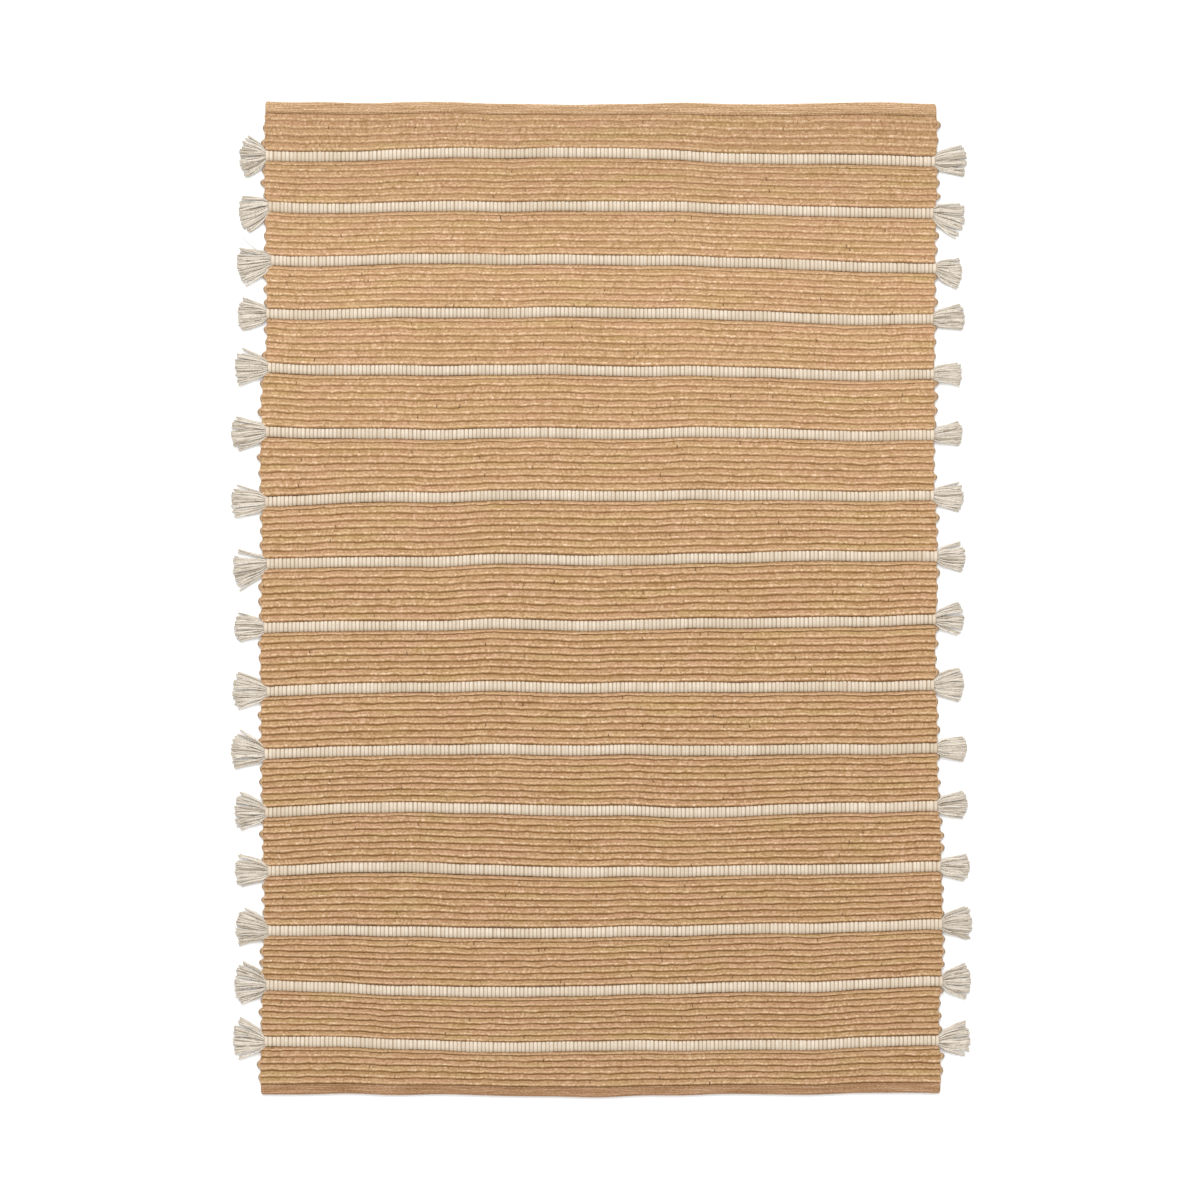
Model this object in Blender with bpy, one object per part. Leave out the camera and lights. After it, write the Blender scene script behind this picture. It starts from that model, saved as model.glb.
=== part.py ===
"""Hand-woven area rug: ribbed tan bands with thick white cotton cords laid between them, the cords' cut ends
standing out of both sides as tassels, and a folded hem with a row of stitching at each short end.

Metres. +X runs across the rug, +Y along it towards the first band, +Z up. The rug lies flat on Z = 0 with its
centre at the origin. It bends along every cord, so each cord is the knuckle of a hinge that runs through it.
The last band stays on the floor and the others ride on it, hinge after hinge, as when the rug is rolled up.
"""

from math import pi

import bmesh
import bpy
from mathutils import Matrix, Vector

# Cloth
RUG_WIDTH = 1.22
CREST_HEIGHT = 0.0085
GROOVE_DEPTH = 0.0022
STEPS_PER_RIB = 6

# One entry per woven band, from the +Y end: its full ribs and its length along the rug. Hand weaving beats
# the weft a little differently in each band, so the lengths differ.
BAND_RIBS = (5, 6, 6, 6, 6, 7, 7, 7, 7, 7, 7, 7, 7, 7, 7, 7, 5)
BAND_LENGTHS = (
    0.0660, 0.0760, 0.0785, 0.0760, 0.0835, 0.0935, 0.0965, 0.0945, 0.0980,
    0.0965, 0.0945, 0.0875, 0.0905, 0.0885, 0.0845, 0.0835, 0.0640,
)
# Every band after the first starts with one narrow rib, tight against the cord.
NARROW_RIB = 0.0067

# Cords, and the tassels that their cut ends fan out into
CORD_WIDTH = 0.0184
CORD_THICKNESS = 0.011
CORD_SIDES = 16
FLARE_LENGTH = 0.012
FLARE_WIDTH = 0.030
FLARE_THICKNESS = 0.0095
FAN_LENGTH = 0.030
FAN_WIDTH = 0.043
FAN_THICKNESS = 0.0085
TASSEL_LENGTH = 0.056
TASSEL_WIDTH = 0.053
TASSEL_THICKNESS = 0.0070
REST_GAP = 0.0002

# Hems and their stitching
HEM_LENGTH = 0.0217
HEM_THICKNESS = 0.0065
HEM_EDGE_STEPS = 8
STITCH_INSET = 0.0035
STITCH_DIAMETER = 0.0012
STITCH_END_MARGIN = 0.004

# Clearance between pieces that touch
GAP = 0.0003

# Linear colours of the yarns, with their roughness
JUTE = (0.545, 0.345, 0.180, 1.0)
COTTON = (0.760, 0.640, 0.470, 1.0)
HEM_CLOTH = (0.470, 0.290, 0.150, 1.0)
THREAD = (0.250, 0.140, 0.070, 1.0)
YARN_ROUGHNESS = 0.9

BANDS = len(BAND_LENGTHS)
HINGE_HEIGHT = CORD_THICKNESS / 2


def clear_scene():
    for thing in list(bpy.context.scene.objects):
        bpy.data.objects.remove(thing, do_unlink=True)


def new_collection(name):
    group = bpy.data.collections.new(name)
    bpy.context.scene.collection.children.link(group)
    return group


def yarn(name, colour):
    material = bpy.data.materials.new(name)
    material.use_nodes = True
    shader = material.node_tree.nodes["Principled BSDF"]
    shader.inputs["Base Color"].default_value = colour
    shader.inputs["Roughness"].default_value = YARN_ROUGHNESS
    shader.inputs["Metallic"].default_value = 0.0
    material.diffuse_color = colour
    return material


def places_along_rug():
    """The rug's length, the y of each band's two ends and the y of each cord's middle, from the +Y end on."""
    cord_room = CORD_WIDTH + 2 * GAP
    length = 2 * (HEM_LENGTH + GAP) + sum(BAND_LENGTHS) + (BANDS - 1) * cord_room
    y = length / 2 - HEM_LENGTH - GAP
    bands, cords = [], []
    for band_length in BAND_LENGTHS:
        bands.append((y, y - band_length))
        cords.append(y - band_length - cord_room / 2)
        y -= band_length + cord_room
    return length, bands, cords[:-1]


def extruded_across(name, outline, material, group):
    """A solid with one (y, z) outline all the way across the rug."""
    curve = bpy.data.curves.new(name, "CURVE")
    curve.dimensions = "2D"
    curve.fill_mode = "BOTH"
    curve.extrude = RUG_WIDTH / 2
    spline = curve.splines.new("POLY")
    spline.points.add(len(outline) - 1)
    for point, (y, z) in zip(spline.points, outline):
        point.co = (y, z, 0.0, 1.0)
    spline.use_cyclic_u = True
    curve.materials.append(material)
    solid = bpy.data.objects.new(name, curve)
    solid.rotation_euler = (pi / 2, 0.0, pi / 2)
    group.objects.link(solid)
    return solid


def rib_arch(start, end):
    """Outline points over one rib, a shallow arch from groove to groove."""
    points = []
    for step in range(STEPS_PER_RIB):
        share = step / STEPS_PER_RIB
        height = CREST_HEIGHT - GROOVE_DEPTH * (2 * share - 1) ** 2
        points.append((start + (end - start) * share, height))
    return points


def woven_band(index, top, bottom, material, group):
    """One ribbed band of cloth between y = top and y = bottom."""
    outline = []
    y = top
    if index > 0:
        outline += rib_arch(y, y - NARROW_RIB)
        y -= NARROW_RIB
    pitch = (y - bottom) / BAND_RIBS[index]
    for rib in range(BAND_RIBS[index]):
        outline += rib_arch(y - rib * pitch, y - (rib + 1) * pitch)
    outline.append((bottom, CREST_HEIGHT - GROOVE_DEPTH))
    outline.append((bottom, 0.0))
    outline.append((top, 0.0))
    return extruded_across(f"woven_band_{index + 1:02d}", outline, material, group)


def end_hem(name, inner, side, material, group):
    """A flat folded hem with a round outer edge. side is 1 at the +Y end of the rug and -1 at the other."""
    radius = HEM_THICKNESS / 2
    centre = inner + side * (HEM_LENGTH - radius)
    outline = [(inner, 0.0)]
    for step in range(HEM_EDGE_STEPS + 1):
        turn = Matrix.Rotation(pi * step / HEM_EDGE_STEPS, 2)
        y, z = turn @ Vector((0.0, -radius))
        outline.append((centre + side * y, radius + z))
    outline.append((inner, HEM_THICKNESS))
    return extruded_across(f"end_hem_{name}", outline, material, group)


def hem_stitching(name, inner, side, material, group):
    """The row of thread that closes the hem, lying along it close to the first rib."""
    curve = bpy.data.curves.new(f"hem_stitching_{name}", "CURVE")
    curve.dimensions = "3D"
    curve.bevel_depth = STITCH_DIAMETER / 2
    curve.bevel_resolution = 2
    curve.use_fill_caps = True
    spline = curve.splines.new("POLY")
    spline.points.add(1)
    reach = RUG_WIDTH / 2 - STITCH_END_MARGIN
    y = inner + side * STITCH_INSET
    z = HEM_THICKNESS + GAP + STITCH_DIAMETER / 2
    for point, x in zip(spline.points, (-reach, reach)):
        point.co = (x, y, z, 1.0)
    curve.materials.append(material)
    thread = bpy.data.objects.new(curve.name, curve)
    group.objects.link(thread)
    return thread


def resize_end(shape, end, old, new):
    """Turns a cord's end face from one (width, thickness) to another, its lowest point just off the floor."""
    middle = end.calc_center_median()
    about = Matrix.Translation(middle)
    stretch = Matrix.Diagonal((1.0, new[0] / old[0], new[1] / old[1], 1.0))
    bmesh.ops.transform(shape, matrix=about @ stretch @ about.inverted(), verts=end.verts[:])
    drop = REST_GAP + new[1] / 2 - middle.z
    bmesh.ops.translate(shape, vec=(0.0, 0.0, drop), verts=end.verts[:])


def pull_tassel(shape, end, side):
    """Draws a cord's end face out into the tassel's flare, fan and cut edge."""
    stations = (
        (0.0, (CORD_WIDTH, CORD_THICKNESS)),
        (FLARE_LENGTH, (FLARE_WIDTH, FLARE_THICKNESS)),
        (FAN_LENGTH, (FAN_WIDTH, FAN_THICKNESS)),
        (TASSEL_LENGTH, (TASSEL_WIDTH, TASSEL_THICKNESS)),
    )
    for (last_x, last_size), (x, size) in zip(stations, stations[1:]):
        end = bmesh.ops.extrude_discrete_faces(shape, faces=[end])["faces"][0]
        bmesh.ops.translate(shape, vec=(side * (x - last_x), 0.0, 0.0), verts=end.verts[:])
        resize_end(shape, end, last_size, size)


def cord_with_tassels(index, y, material, group):
    """One weft cord with its middle line at y. That line is the hinge of the band before it."""
    name = f"cord_with_tassels_{index + 1:02d}"
    shape = bmesh.new()
    along_x = Matrix.Rotation(pi / 2, 4, "Y")
    flatten = Matrix.Diagonal((1.0, CORD_WIDTH, CORD_THICKNESS, 1.0))
    bmesh.ops.create_cone(
        shape,
        cap_ends=True,
        segments=CORD_SIDES,
        radius1=0.5,
        radius2=0.5,
        depth=RUG_WIDTH,
        matrix=Matrix.Translation((0.0, y, HINGE_HEIGHT)) @ flatten @ along_x,
    )
    for side in (-1, 1):
        ends = [face for face in shape.faces if len(face.verts) == CORD_SIDES]
        end = max(ends, key=lambda face: side * face.calc_center_median().x)
        pull_tassel(shape, end, side)
    mesh = bpy.data.meshes.new(name)
    shape.to_mesh(mesh)
    shape.free()
    mesh.shade_smooth()
    mesh.materials.append(material)
    cord = bpy.data.objects.new(name, mesh)
    group.objects.link(cord)
    return cord


def hinge_chain(cords, group):
    """An empty on the hinge line through each cord. Each rides on the next one, towards the last band."""
    lines = {}
    parent, parent_place = None, Vector()
    for index in reversed(range(len(cords))):
        place = Vector((0.0, cords[index], HINGE_HEIGHT))
        line = bpy.data.objects.new(f"hinge_line_{index + 1:02d}", None)
        line.empty_display_size = CORD_WIDTH
        line.location = place - parent_place
        line.parent = parent
        group.objects.link(line)
        lines[index] = (line, place)
        parent, parent_place = line, place
    return lines


def hang_on(solid, band, lines):
    """Lets a solid, modelled in place, ride with a band. The last band doesn't turn: it has no hinge line."""
    if band in lines:
        line, place = lines[band]
        solid.parent = line
        solid.location = -place


def build():
    clear_scene()
    group = new_collection("woven_rug")
    jute = yarn("jute_weft", JUTE)
    cotton = yarn("cotton_cord", COTTON)
    hem_cloth = yarn("hem_cloth", HEM_CLOTH)
    thread = yarn("hem_thread", THREAD)
    length, bands, cords = places_along_rug()
    lines = hinge_chain(cords, new_collection("hinge_lines"))

    for index, (top, bottom) in enumerate(bands):
        hang_on(woven_band(index, top, bottom, jute, group), index, lines)
    for index, y in enumerate(cords):
        hang_on(cord_with_tassels(index, y, cotton, group), index + 1, lines)
    for name, band, side in (("top", 0, 1), ("bottom", BANDS - 1, -1)):
        inner = side * (length / 2 - HEM_LENGTH)
        hang_on(end_hem(name, inner, side, hem_cloth, group), band, lines)
        hang_on(hem_stitching(name, inner, side, thread, group), band, lines)


build()
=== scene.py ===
"""A hand-woven area rug: ribbed jute bands with thick white cotton cords laid between them. The cords' cut
ends stand out of both sides as tassels, and each short end has a folded, stitched hem.

Metres. +X runs across the rug, +Y along it towards the first band, +Z up. The rug lies flat on Z = 0.
"""

from math import cos, pi, radians, sin

import bmesh
import bpy
import numpy as np
from mathutils import Matrix, Vector


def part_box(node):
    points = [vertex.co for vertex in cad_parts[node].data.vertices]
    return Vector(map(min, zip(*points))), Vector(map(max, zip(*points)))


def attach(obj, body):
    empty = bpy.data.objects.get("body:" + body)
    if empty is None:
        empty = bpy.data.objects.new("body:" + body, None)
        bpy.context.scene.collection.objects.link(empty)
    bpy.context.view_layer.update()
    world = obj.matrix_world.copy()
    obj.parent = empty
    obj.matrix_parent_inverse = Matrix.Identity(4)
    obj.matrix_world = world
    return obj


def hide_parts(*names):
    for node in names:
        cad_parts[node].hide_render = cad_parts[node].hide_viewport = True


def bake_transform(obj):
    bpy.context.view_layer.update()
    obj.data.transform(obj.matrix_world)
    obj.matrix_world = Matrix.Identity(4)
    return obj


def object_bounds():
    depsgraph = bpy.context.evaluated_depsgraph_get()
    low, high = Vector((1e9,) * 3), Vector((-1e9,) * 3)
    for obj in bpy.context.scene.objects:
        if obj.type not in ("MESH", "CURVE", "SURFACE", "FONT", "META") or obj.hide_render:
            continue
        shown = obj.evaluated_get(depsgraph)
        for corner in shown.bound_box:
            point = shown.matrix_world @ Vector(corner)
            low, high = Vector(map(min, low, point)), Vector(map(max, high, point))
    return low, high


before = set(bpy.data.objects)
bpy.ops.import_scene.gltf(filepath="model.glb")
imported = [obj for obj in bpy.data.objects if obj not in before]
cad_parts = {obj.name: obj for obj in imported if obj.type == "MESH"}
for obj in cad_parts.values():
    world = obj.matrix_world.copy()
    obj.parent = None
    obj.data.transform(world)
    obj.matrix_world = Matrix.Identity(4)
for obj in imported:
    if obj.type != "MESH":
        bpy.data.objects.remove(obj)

cad_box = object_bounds()
scene = bpy.context.scene
MM = 0.001


# --- Studio ---
# A wide pale floor, a soft light from the rug's far end, and a camera that looks straight down.

VIEW_HEIGHT = 6.056
VIEW_CENTRE = (0.0005, -0.0023)
LENS = 100.0
SENSOR = 36.0
SKY = 1.04
SUN_POWER = 0.91
SUN_SOFTNESS = 35.0
SUN_TURN = (radians(-48.0), radians(-8.0), 0.0)
LAMP_POWER = 179.0
LAMP_PLACE = (-1.0, 5.0, 6.0)
LAMP_SIZE = 2.5
FLOOR_REACH = 12.0
FLOOR_COLOUR = (0.94, 0.94, 0.935, 1.0)
FLOOR_DROP = 0.4 * MM

camera = bpy.data.objects.new("camera", bpy.data.cameras.new("camera"))
camera.data.lens = LENS
camera.data.sensor_width = SENSOR
camera.data.clip_end = 50.0
camera.location = (*VIEW_CENTRE, VIEW_HEIGHT)
scene.collection.objects.link(camera)
scene.camera = camera
scene.view_settings.view_transform = "Standard"

world = bpy.data.worlds.new("studio")
world.use_nodes = True
world.node_tree.nodes["Background"].inputs["Color"].default_value = (1.0, 1.0, 1.0, 1.0)
world.node_tree.nodes["Background"].inputs["Strength"].default_value = SKY
scene.world = world

sun = bpy.data.objects.new("far_end_light", bpy.data.lights.new("far_end_light", "SUN"))
sun.data.energy = SUN_POWER
sun.data.angle = radians(SUN_SOFTNESS)
sun.rotation_euler = SUN_TURN
scene.collection.objects.link(sun)

lamp = bpy.data.objects.new("soft_box", bpy.data.lights.new("soft_box", "AREA"))
lamp.data.energy = LAMP_POWER
lamp.data.size = LAMP_SIZE
lamp.location = LAMP_PLACE
lamp.rotation_euler = (-Vector(LAMP_PLACE)).to_track_quat("-Z", "Y").to_euler()
scene.collection.objects.link(lamp)


def mesh_of(shape, name):
    """Makes a mesh of a bmesh, and frees the bmesh."""
    mesh = bpy.data.meshes.new(name)
    shape.to_mesh(mesh)
    shape.free()
    return mesh


floor_shape = bmesh.new()
bmesh.ops.create_grid(floor_shape, x_segments=1, y_segments=1, size=FLOOR_REACH)
floor_mesh = mesh_of(floor_shape, "floor")
floor_paint = bpy.data.materials.new("floor_paint")
floor_paint.use_nodes = True
floor_paint.node_tree.nodes["Principled BSDF"].inputs["Base Color"].default_value = FLOOR_COLOUR
floor_paint.node_tree.nodes["Principled BSDF"].inputs["Roughness"].default_value = 0.9
floor_mesh.materials.append(floor_paint)
floor = bpy.data.objects.new("floor", floor_mesh)
floor.location.z = -FLOOR_DROP
scene.collection.objects.link(floor)


# --- Woven bands ---
# The jute ground of the rug. Each weft is a pair of thick picks under fine, close warp yarns, so the cloth
# stands up in ribs with a groove between. The weft turns round at the selvedge, which leaves a loop for every
# two ribs. Each band is made in two halves that meet in a groove.
# The last band's ribs are packed a little further out, over the fold of the hem.

BAND_RIBS = (5, 6, 6, 6, 6, 7, 7, 7, 7, 7, 7, 7, 7, 7, 7, 7, 5)
NARROW_RIB = 6.7 * MM
LAST_RIB_OUT = 3 * MM
BANDS = len(BAND_RIBS)
HALF_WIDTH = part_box("woven_band_01")[1].x
CREST = 8.5 * MM
MIDDLE_HEIGHT = CREST / 2
COLUMNS = 220
EDGE_CROWDING = 0.9
WARP_PITCH = 3.6 * MM

# A rib's section, as shares of the rib and depths below the crest in mm. The first of its two picks lies
# lower than the second.
RIB_SECTION = (
    (0.0, 2.0), (0.06, 1.45), (0.17, 0.85), (0.32, 0.6), (0.47, 0.7), (0.57, 0.28), (0.72, 0.0), (0.86, 0.35),
    (0.95, 1.3),
)

# How far each weft line strays from straight, in mm at seven even places from the left selvedge to the right
# one: the rug's first edge, the sixteen cords, and its last edge.
STRAY = (
    (3, 1, 0, -2, -1, 0, 0),
    (0, 2, 6, 7, -2, -5, -9),
    (3, 2, 4, 5, 1, -5, -8),
    (3, 5, 6, 5, 1, -5, -11),
    (1, 3, 3, 5, 0, -7, -8),
    (6, 2, 2, 2, -1, -6, -6),
    (2, -1, -1, 0, 1, -3, -4),
    (-10, 0, 1, 3, 3, 2, 2),
    (-9, -4, -1, -1, 2, 6, 6),
    (-8, -3, -1, -3, 2, 2, 9),
    (-8, 0, 2, -1, 2, 0, 5),
    (-7, -1, 2, -1, 1, 0, 4),
    (-6, 2, 1, -5, -5, 0, 5),
    (-2, 3, 0, -7, -2, -1, 4),
    (-2, -6, -7, -8, -2, 1, 6),
    (3, -9, -11, -10, -4, -1, 6),
    (3, -3, -9, -7, -7, -3, 1),
    (1, 0, -2, -4, -1, 2, 1),
)
STRAY_REACH = 0.6

# The small waves of hand weaving that all wefts share, in metres, and how high each is for its length
RIPPLE_LENGTHS = (0.13, 0.19, 0.26, 0.34, 0.45)
RIPPLE_STEEPNESS = 0.0021

# The waves of each groove by itself, in metres long and mm high
WAVES = 4
WAVE_LENGTH = (0.028, 0.12)
WAVE_HEIGHT = (0.14, 0.46)

# How far each band's selvedges stand outside the nominal width, in mm
LEFT_EDGE = (-3, -2, -5, -6, -7, 3, 5, 2, 3, 5, 4, 2, 0, -2, 0, 2, 5)
RIGHT_EDGE = (1, 1, -2, -3, -4, -3, -5, 0, 1, -2, 1, 2, 8, 10, 12, 4, 8)

# Where each cord leaves the cloth, in the same way. It draws in the selvedges close to it on both sides.
LEFT_EXIT = (-5, -10, -15, -6, -9, -5, -4, -7, -2, -7, -3, -4, -9, -10, -6, -3)
RIGHT_EXIT = (-3, -6, 0, -5, -5, -4, -5, 2, -1, -4, 2, 2, 7, 10, 11, 5)
PINCH_REACH = 12 * MM

band_boxes = [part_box(f"woven_band_{band + 1:02d}") for band in range(BANDS)]
cord_boxes = [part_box(f"cord_with_tassels_{cord + 1:02d}") for cord in range(BANDS - 1)]
cord_places = [(low.y + high.y) / 2 for low, high in cord_boxes]
line_places = [cad_box[1].y, *cord_places, cad_box[0].y]
hinge_height = (cord_boxes[0][0].z + cord_boxes[0][1].z) / 2


def through(values, where):
    """A smooth curve through evenly spaced values, read at places from 0 to 1."""
    values = np.array(values, float)
    place = np.clip(where, 0.0, 1.0) * (len(values) - 1)
    first = np.minimum(place.astype(int), len(values) - 2)
    share = place - first
    padded = np.concatenate(([2 * values[0] - values[1]], values, [2 * values[-1] - values[-2]]))
    a, b, c, d = (padded[first + step] for step in range(4))
    return b + 0.5 * share * (c - a + share * (2 * a - 5 * b + 4 * c - d + share * (3 * (b - c) + d - a)))


def ripple(x, y):
    """How far the shared waves of hand weaving carry the cloth at x, y, in metres."""
    chance = np.random.default_rng(7)
    total = np.zeros_like(x)
    for length in RIPPLE_LENGTHS:
        drift, phase = chance.uniform(-6, 6), chance.uniform(0, 2 * pi)
        total += RIPPLE_STEEPNESS * length * np.sin(2 * pi * x / length + drift * y + phase)
    return total


def stray(x, y, line):
    """How far the cloth at x, y lies from straight, between weft line number line and the next one."""
    where = x / (2 * STRAY_REACH) + 0.5
    share = (line_places[line] - y) / (line_places[line] - line_places[line + 1])
    first, second = through(STRAY[line], where), through(STRAY[line + 1], where)
    return MM * (first + (second - first) * share) + ripple(x, y)


def rib_wave(x, groove):
    """How a groove between two ribs wanders on its own, in metres."""
    chance = np.random.default_rng(100 + groove)
    total = np.zeros_like(x)
    for _ in range(WAVES):
        length, phase = chance.uniform(*WAVE_LENGTH), chance.uniform(0, 2 * pi)
        total += chance.uniform(*WAVE_HEIGHT) * MM * np.sin(2 * pi * x / length + phase)
    return total


def selvedge(y, edges, exits):
    """How far one selvedge lies from the rug's middle line, in metres."""
    middles = [(low.y + high.y) / 2 for low, high in band_boxes]
    out = np.interp(-y, [-place for place in middles], edges)
    for place, cord_out in zip(cord_places, exits):
        at_cord = np.interp(-place, [-middle for middle in middles], edges)
        out = out + (cord_out - at_cord) * np.exp(-(((y - place) / PINCH_REACH) ** 2))
    return HALF_WIDTH + out * MM


def left_selvedge(y):
    return -selvedge(y, LEFT_EDGE, LEFT_EXIT)


def right_selvedge(y):
    return selvedge(y, RIGHT_EDGE, RIGHT_EXIT)


def spread_across(places, y):
    """x for places from -1 at the left selvedge to 1 at the right one."""
    left, right = left_selvedge(y), right_selvedge(y)
    return (right + left) / 2 + places * (right - left) / 2


def pad_of_cloth(columns, rows):
    """A closed pad of columns by rows faces, from -1 to 1 each way, its underside at z = 0, its top at 1."""
    shape = bmesh.new()
    bmesh.ops.create_grid(shape, x_segments=columns, y_segments=rows, size=1.0)
    raised = bmesh.ops.extrude_face_region(shape, geom=shape.faces[:])["geom"]
    top = [part for part in raised if isinstance(part, bmesh.types.BMVert)]
    bmesh.ops.translate(shape, vec=(0, 0, 1), verts=top)
    bmesh.ops.recalc_face_normals(shape, faces=shape.faces[:])
    return mesh_of(shape, "cloth")


def swept(sides, radius, place, axis, steps, angle=0.0, stride=(0, 0, 0)):
    """A closed solid: a circle put in its place, carried round an axis or along a stride at each step."""
    shape = bmesh.new()
    bmesh.ops.create_circle(shape, segments=sides, radius=radius, matrix=place)
    bmesh.ops.spin(
        shape, geom=shape.verts[:] + shape.edges[:], cent=(0, 0, 0), axis=axis, angle=angle, steps=steps,
        dvec=stride, use_duplicate=False,
    )
    bmesh.ops.holes_fill(shape, edges=[edge for edge in shape.edges if edge.is_boundary], sides=0)
    bmesh.ops.recalc_face_normals(shape, faces=shape.faces[:])
    return shape


def points_of(mesh):
    """A mesh's vertices as an array of x, y and z columns."""
    points = np.empty(len(mesh.vertices) * 3, np.float32)
    mesh.vertices.foreach_get("co", points)
    return points.reshape(-1, 3).astype(float)


def set_points(mesh, points):
    mesh.vertices.foreach_set("co", points.astype(np.float32).ravel())
    mesh.update()


def remember(mesh, name, values):
    """Keeps three numbers a vertex on the mesh, for its material to read."""
    layer = mesh.attributes.new(name, "FLOAT_VECTOR", "POINT")
    layer.data.foreach_set("vector", values.astype(np.float32).ravel())


def finished(name, mesh, material, crease=70.0):
    """The object of a finished mesh, smooth but for its sharp corners."""
    mesh.name = name
    mesh.shade_smooth()
    mesh.set_sharp_from_angle(angle=radians(crease))
    mesh.materials.clear()
    mesh.materials.append(material)
    piece = bpy.data.objects.new(name, mesh)
    scene.collection.objects.link(piece)
    return piece


class Value:
    """A number or colour in a material's node tree. Arithmetic on it adds Math nodes."""

    def __init__(self, finish, socket):
        self.finish = finish
        self.socket = socket

    def maths(self, operation, first, second=0.0):
        return self.finish.node("Math", {"operation": operation}, {0: first, 1: second})

    def __add__(self, other):
        return self.maths("ADD", self, other)

    __radd__ = __add__

    def __sub__(self, other):
        return self.maths("SUBTRACT", self, other)

    def __rsub__(self, other):
        return self.maths("SUBTRACT", other, self)

    def __mul__(self, other):
        return self.maths("MULTIPLY", self, other)

    __rmul__ = __mul__

    def __pow__(self, other):
        return self.maths("POWER", self, other)

    def floor(self):
        return self.maths("FLOOR", self)

    def fract(self):
        return self.maths("FRACT", self)

    def sine(self):
        return self.maths("SINE", self)

    def least(self, other):
        return self.maths("MINIMUM", self, other)

    def most(self, other):
        return self.maths("MAXIMUM", self, other)

    def rise(self, low, high):
        """0 below low, 1 above high and smooth between. With high under low, it falls instead."""
        settings = {"interpolation_type": "SMOOTHSTEP"}
        return self.finish.node("MapRange", settings, {"Value": self, "From Min": low, "From Max": high})


class Finish:
    """A material whose pattern is worked out by nodes around one Principled shader."""

    def __init__(self, name, roughness, sheen=0.0):
        self.material = bpy.data.materials.new(name)
        self.material.use_nodes = True
        self.tree = self.material.node_tree
        self.shader = self.tree.nodes["Principled BSDF"]
        self.shader.inputs["Roughness"].default_value = roughness
        self.shader.inputs["Specular IOR Level"].default_value = 0.25
        self.shader.inputs["Sheen Weight"].default_value = sheen
        self.shader.inputs["Sheen Roughness"].default_value = 0.5

    def node(self, kind, settings, inputs, output=0):
        """Adds a node: its settings first, then the values or links of its sockets."""
        made = self.tree.nodes.new("ShaderNode" + kind)
        for key, value in settings.items():
            setattr(made, key, value)
        for key, value in inputs.items():
            self.feed(made.inputs[key], value)
        return Value(self, made.outputs[output])

    def feed(self, socket, value):
        if isinstance(value, Value):
            self.tree.links.new(value.socket, socket)
        else:
            socket.default_value = value

    def kept(self, name):
        """The three numbers that the mesh keeps under a name."""
        vector = self.node("Attribute", {"attribute_name": name}, {}, "Vector")
        return [self.node("SeparateXYZ", {}, {"Vector": vector}, axis) for axis in "XYZ"]

    def vector(self, x, y, z=0.0):
        return self.node("CombineXYZ", {}, {"X": x, "Y": y, "Z": z})

    def noise(self, x, y, z=0.0, detail=2.0):
        """Smooth noise about 0.5, one wave to a unit."""
        inputs = {"Vector": self.vector(x, y, z), "Scale": 1.0, "Detail": detail}
        return self.node("TexNoise", {"noise_dimensions": "3D"}, inputs)

    def chance(self, x, y):
        """A number from 0 to 1 for each whole x and y."""
        inputs = {"Vector": self.vector(x, y)}
        return self.node("TexWhiteNoise", {"noise_dimensions": "2D"}, inputs)

    def mix(self, share, first, second, blend="MIX"):
        settings = {"data_type": "RGBA", "blend_type": blend}
        return self.node("Mix", settings, {0: share, 6: first, 7: second}, 2)

    def colour(self, value):
        self.feed(self.shader.inputs["Base Color"], value)

    def bump(self, height, distance, strength=1.0):
        inputs = {"Height": height, "Distance": distance, "Strength": strength}
        self.feed(self.shader.inputs["Normal"], self.node("Bump", {}, inputs, "Normal"))


JUTE_GROOVE_SHADE = (0.254, 0.125, 0.037, 1.0)
JUTE_LOW_TONE_AND_SHADE = (0.375, 0.219, 0.100, 1.0)
JUTE_MIDDLE = (0.455, 0.281, 0.145, 1.0)
JUTE_ROSY = (0.460, 0.263, 0.150, 1.0)
JUTE_GOLDEN = (0.430, 0.290, 0.120, 1.0)
JUTE_CREST_HIGHLIGHT = (0.607, 0.402, 0.234, 1.0)
JUTE_FLECK = (0.679, 0.500, 0.330, 1.0)
JUTE_KNOT = (0.116, 0.058, 0.022, 1.0)
SHADE_ALONG_THE_RUG = (0.860, 0.850, 0.830, 1.0)


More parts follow.
